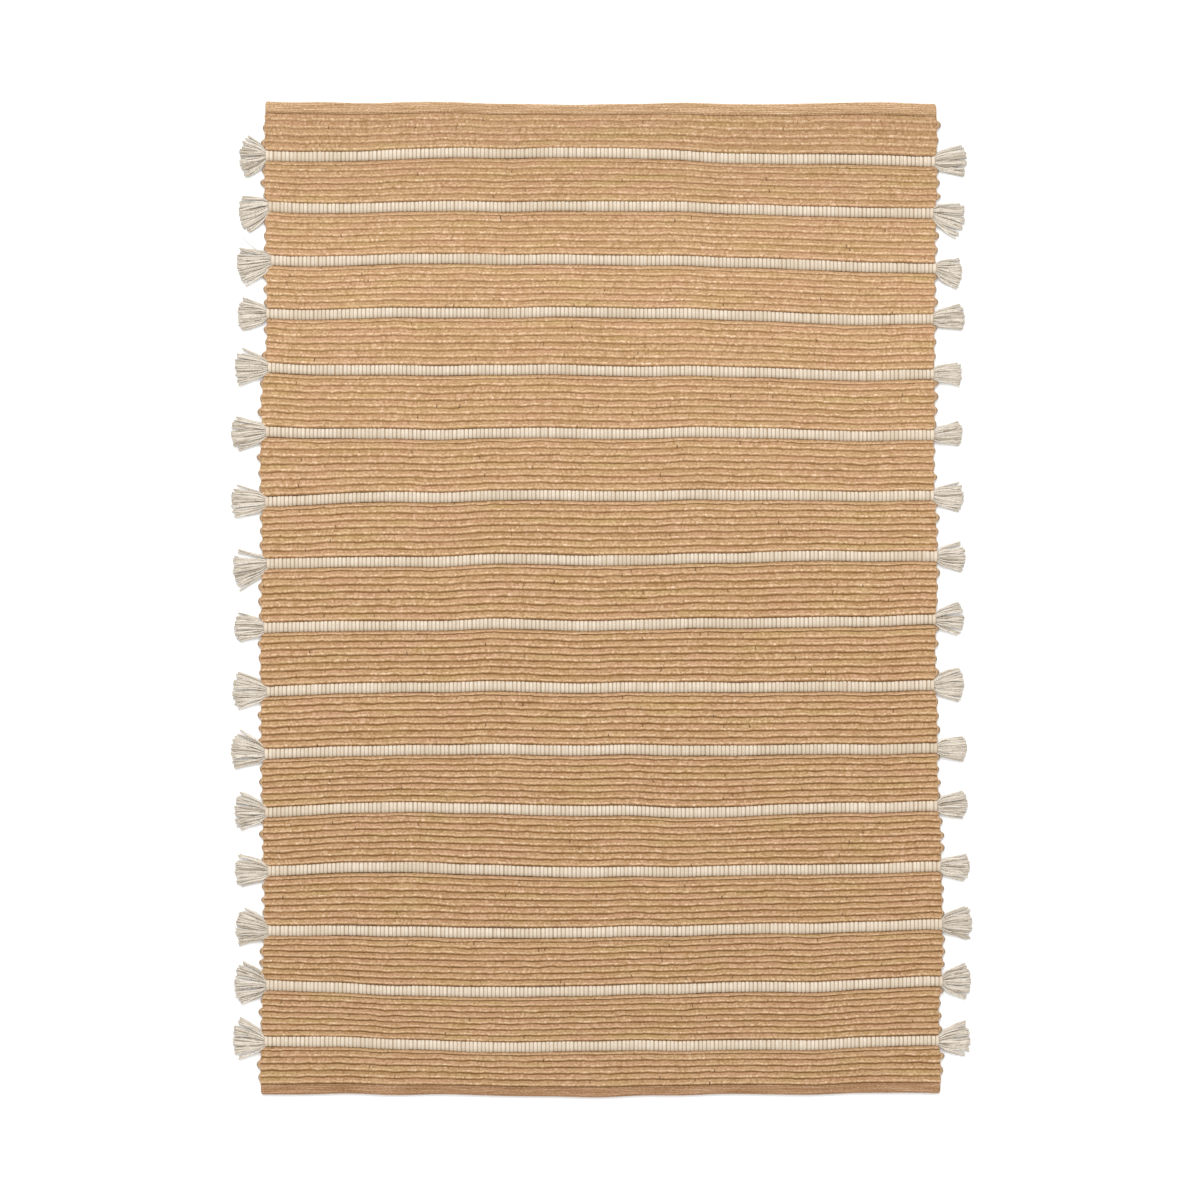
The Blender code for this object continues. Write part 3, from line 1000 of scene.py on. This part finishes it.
def hem_finish():
    """The finer cloth of the hems: close flat picks. The mesh keeps warp yarns, picks and which hem it is."""
    hem = Finish("hem_cloth", roughness=0.9, sheen=0.08)
    warp, pick, last = hem.kept("weave")
    line = pick + (hem.noise(warp * 0.2, pick * 0.5, 2.0) - 0.5) * 0.8
    share = line.fract()
    cell = hem.chance((warp * 1.5).floor(), line.floor())
    tone = hem.noise(warp * 0.04, line.floor() * 3.7, detail=3.0)
    patch = hem.noise(warp * 0.06, pick * 0.2, 5.0)
    fibre = hem.noise(warp * 0.9, pick * 1.3, 11.0, detail=3.0)
    streak = hem.noise(warp * 0.05, pick * 0.55, 8.0, detail=3.0)
    # Painted shade in the gaps between the hem's picks, stronger in some places than in others.
    gap_shade = share.rise(0.30, 0.0).most(share.rise(0.70, 1.0)) * (tone * 3.0 - 0.6).least(1.0)
    colour = hem.mix(tone.rise(0.3, 0.7), HEM_CLOTH_MIDDLE, HEM_CLOTH_LIGHT)
    colour = hem.mix(cell.rise(0.70, 1.0) * patch.rise(0.4, 0.6) * 0.5, colour, JUTE_FLECK)
    grain = 1.0 + (fibre - 0.5) * 1.7 + (streak - 0.5) * 1.3
    colour = hem.mix(1.0, colour, hem.vector(grain**0.85, grain**1.1, grain**1.6), "MULTIPLY")
    colour = hem.mix(gap_shade * 0.9, colour, HEM_GAP_SHADE)
    # Painted shade: the hem at the rug's last edge is darkened, as the light falls off towards that end.
    colour = hem.mix(last, colour, hem.mix(1.0, colour, LAST_HEM_FALL_OFF_SHADE, "MULTIPLY"))
    hem.colour(colour)
    hem.bump((share * pi).sine() + fibre * 0.5, distance=0.5 * MM, strength=0.8)
    return hem.material


def folded_hem(name, side, material):
    """One hem. side is 1 at the rug's first edge and -1 at its last one."""
    low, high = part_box(f"end_hem_{name}")
    inner, outer = (low.y, high.y) if side > 0 else (high.y - LAST_RIB_OUT, low.y)
    line = 0 if side > 0 else BANDS - 1
    mesh = pad_of_cloth(COLUMNS, HEM_ROWS)
    points = points_of(mesh)
    top = points[:, 2] > 0.5
    share = (1 + points[:, 1]) / 2
    places = np.sin(points[:, 0] * EDGE_CROWDING * pi / 2) / sin(EDGE_CROWDING * pi / 2)
    y = inner + (outer - inner) * np.sin(share * pi / 2)
    from_outer = np.abs(outer - y)
    into_corner = np.clip(HEM_CORNER - from_outer, 0, HEM_CORNER)
    corner = HEM_CORNER - np.sqrt(np.clip(HEM_CORNER**2 - into_corner**2, 0, None))
    x = spread_across(places, y)
    x -= np.sign(places) * corner * np.clip((np.abs(places) - 0.9) / 0.1, 0, 1)
    from_side = np.minimum(right_selvedge(y) - x, x - left_selvedge(y)) - corner
    half = HEM_THICKNESS / 2
    from_edge = np.minimum(from_outer, from_side + HEM_SIDE_OUT)
    rounding = np.sqrt(np.clip(1 - (1 - np.clip(from_edge / half, 0, 1)) ** 2, 0.01, 1))
    groove = 1 - 0.45 * np.exp(-((np.abs(y - inner) / HEM_GROOVE) ** 2))
    puffed = 1 + 0.05 * np.sin(x / 0.018) * np.sin(x / 0.043 + side)
    thick = half * rounding * groove * puffed
    height = half + np.where(top, thick, -thick)
    wave = HEM_WAVE * np.sin(x / 0.027 + side) * np.abs(y - inner) / HEM_LENGTH
    set_points(mesh, np.stack([x, y + stray(x, y, line) + wave, height], axis=1))
    last = np.full_like(x, 0.0 if side > 0 else 1.0)
    picks = np.abs(y - inner) / PICK_PITCH + 40 * (side < 0)
    remember(mesh, "weave", np.stack([places * HALF_WIDTH / WARP_PITCH, picks, last], axis=1))
    return finished(f"folded_hem_{name}", mesh, material)


# --- Hem stitches ---
# The brown sewing thread that closes each hem, in a row of short stitches sunk along its inner side.

STITCH_PITCH = 6.4 * MM
STITCH_LENGTH = 4.9 * MM
STITCH_STEPS = 4
STITCH_INSET = 3.0 * MM
THREAD_THICKNESS = 1.0 * MM
STITCH_RISE = 0.7 * MM
STITCH_DIP = 0.75 * MM
THREAD_LIGHT = (0.321, 0.192, 0.103, 1.0)
THREAD_DARK = (0.179, 0.098, 0.049, 1.0)


def thread_finish():
    """Waxed brown sewing thread."""
    thread = Finish("hem_thread", roughness=0.7)
    x, y, z = thread.kept("rest_place")
    twist = thread.noise(x * 900.0, y * 300.0, z * 300.0)
    thread.colour(thread.mix(twist.rise(0.35, 0.65), THREAD_DARK, THREAD_LIGHT))
    thread.bump(twist, distance=0.2 * MM, strength=0.6)
    return thread.material


def stitch_row(name, side, material):
    """A row of stitches, each a short bent run of thread that dips into the cloth at both ends."""
    low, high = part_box(f"end_hem_{name}")
    inner = low.y if side > 0 else high.y - LAST_RIB_OUT
    line = 0 if side > 0 else BANDS - 1
    low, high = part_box(f"hem_stitching_{name}")
    count = int((high.x - low.x) / STITCH_PITCH)
    ring = Matrix.Rotation(pi / 2, 4, "Y")
    stride = (STITCH_LENGTH / STITCH_STEPS, 0, 0)
    shape = swept(6, THREAD_THICKNESS / 2, ring, axis=(1, 0, 0), steps=STITCH_STEPS, stride=stride)
    row_of(shape, count, STITCH_PITCH)
    mesh = mesh_of(shape, name)
    points = points_of(mesh)
    within = (points[:, 0] % STITCH_PITCH) / STITCH_LENGTH
    arch = np.sin(pi * np.clip(within, 0, 1))
    x = points[:, 0] + low.x + STITCH_PITCH / 4
    y = inner + side * STITCH_INSET + points[:, 1]
    height = HEM_THICKNESS - STITCH_DIP + arch * STITCH_RISE + points[:, 2] * (0.5 + 0.5 * arch)
    set_points(mesh, np.stack([x, y + stray(x, np.full_like(x, inner), line), height], axis=1))
    remember(mesh, "rest_place", points_of(mesh))
    return finished(f"hem_stitches_{name}", mesh, material)


hem_cloth = hem_finish()
hem_thread = thread_finish()
for name, side, body in (("top", 1, "band_01"), ("bottom", -1, f"band_{BANDS:02d}")):
    hem = folded_hem(name, side, hem_cloth)
    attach(hem, body)
    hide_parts(f"end_hem_{name}")
    stitches = stitch_row(name, side, hem_thread)
    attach(stitches, body)
    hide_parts(f"hem_stitching_{name}")
